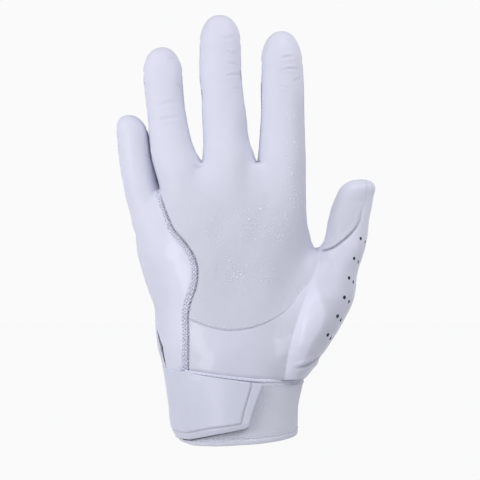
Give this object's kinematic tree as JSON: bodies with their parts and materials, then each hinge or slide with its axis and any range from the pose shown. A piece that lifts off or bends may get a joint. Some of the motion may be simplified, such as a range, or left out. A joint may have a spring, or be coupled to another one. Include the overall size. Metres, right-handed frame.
{
  "type": "sports glove",
  "caption": "Right-hand football glove with a gripping palm, smooth side panels, a knit gusset, a band cuff and a peel-open wrist strap; the digits bend.",
  "frame": {"origin": "centre of the wrist opening, level with the rim of the cuff", "axes": "+Z from the wrist to the fingertips, +X to the thumb side, -Y out of the palm"},
  "size_m": [0.1355, 0.0517, 0.221],
  "materials": {
    "grip": "matte coated grip fabric",
    "smooth": "smooth glossy synthetic leather",
    "knit": "open knit",
    "stretch": "matte stretch fabric",
    "band": "matte elastic band",
    "moulded": "satin moulded rubber",
    "patch": "hook and loop pile"
  },
  "bodies": {
    "hand": {"back_panel": "stretch", "little_side_panel": "smooth", "gusset_strip": "knit", "grip_palm_panel": "grip", "smooth_palm_panel": "smooth", "cuff_band": "band", "cuff_hem": "band", "loop_patch": "patch", "strap_anchor": "moulded"},
    "strap": {"hook_patch": "patch", "strap_tab": "moulded"},
    "index_lower": {"index_lower_front": "grip", "index_lower_back": "stretch", "index_lower_left_strip": "knit", "index_lower_right_strip": "knit"},
    "index_upper": {"index_upper_front": "grip", "index_upper_back": "stretch", "index_upper_left_strip": "knit", "index_upper_right_strip": "knit"},
    "middle_lower": {"middle_lower_front": "grip", "middle_lower_back": "stretch", "middle_lower_left_strip": "knit", "middle_lower_right_strip": "knit"},
    "middle_upper": {"middle_upper_front": "grip", "middle_upper_back": "stretch", "middle_upper_left_strip": "knit", "middle_upper_right_strip": "knit"},
    "ring_lower": {"ring_lower_front": "grip", "ring_lower_back": "stretch", "ring_lower_left_strip": "knit", "ring_lower_right_strip": "knit"},
    "ring_upper": {"ring_upper_front": "grip", "ring_upper_back": "stretch", "ring_upper_left_strip": "knit", "ring_upper_right_strip": "knit"},
    "little_lower": {"little_lower_front": "smooth", "little_lower_back": "stretch", "little_lower_left_strip": "knit", "little_lower_right_strip": "knit"},
    "little_upper": {"little_upper_front": "smooth", "little_upper_back": "stretch", "little_upper_left_strip": "knit", "little_upper_right_strip": "knit"},
    "thumb_lower": {"thumb_lower_pad": "grip", "thumb_lower_outer": "smooth", "thumb_lower_back": "stretch"},
    "thumb_upper": {"thumb_upper_pad": "grip", "thumb_upper_outer": "smooth", "thumb_upper_back": "stretch"}
  },
  "joints": [
    {"name": "index_knuckle", "type": "hinge", "parent": "hand", "child": "index_lower", "pos_m": [0.02496, -0.0124, 0.14895], "axis": [1, 0, 0], "range_deg": [0, 75]},
    {"name": "index_bend", "type": "hinge", "parent": "index_lower", "child": "index_upper", "pos_m": [0.02496, -0.0118, 0.17636], "axis": [1, 0, 0], "range_deg": [0, 90]},
    {"name": "middle_knuckle", "type": "hinge", "parent": "hand", "child": "middle_lower", "pos_m": [-0.0036, -0.0128, 0.14895], "axis": [1, 0, 0], "range_deg": [0, 75]},
    {"name": "middle_bend", "type": "hinge", "parent": "middle_lower", "child": "middle_upper", "pos_m": [-0.0036, -0.0119, 0.17901], "axis": [1, 0, 0], "range_deg": [0, 90]},
    {"name": "ring_knuckle", "type": "hinge", "parent": "hand", "child": "ring_lower", "pos_m": [-0.03045, -0.012, 0.14498], "axis": [1, 0, 0], "range_deg": [0, 75]},
    {"name": "ring_bend", "type": "hinge", "parent": "ring_lower", "child": "ring_upper", "pos_m": [-0.03045, -0.0108, 0.1715], "axis": [1, 0, 0], "range_deg": [0, 90]},
    {"name": "little_knuckle", "type": "hinge", "parent": "hand", "child": "little_lower", "pos_m": [-0.04905, -0.0086, 0.1284], "axis": [1, 0, 0], "range_deg": [0, 75]},
    {"name": "little_bend", "type": "hinge", "parent": "little_lower", "child": "little_upper", "pos_m": [-0.04905, -0.0082, 0.1494], "axis": [1, 0, 0], "range_deg": [0, 90]},
    {"name": "thumb_base", "type": "hinge", "parent": "hand", "child": "thumb_lower", "pos_m": [0.0456, -0.0152, 0.09912], "axis": [0.7071, -0.7071, 0], "range_deg": [0, 30]},
    {"name": "thumb_bend", "type": "hinge", "parent": "thumb_lower", "child": "thumb_upper", "pos_m": [0.0516, -0.0135, 0.11205], "axis": [0.7071, -0.7071, 0], "range_deg": [0, 60]},
    {"name": "strap_peel", "type": "hinge", "parent": "hand", "child": "strap", "pos_m": [-0.0376, 0, 0.016], "axis": [0, 0, -1], "range_deg": [0, 120]}
  ]
}
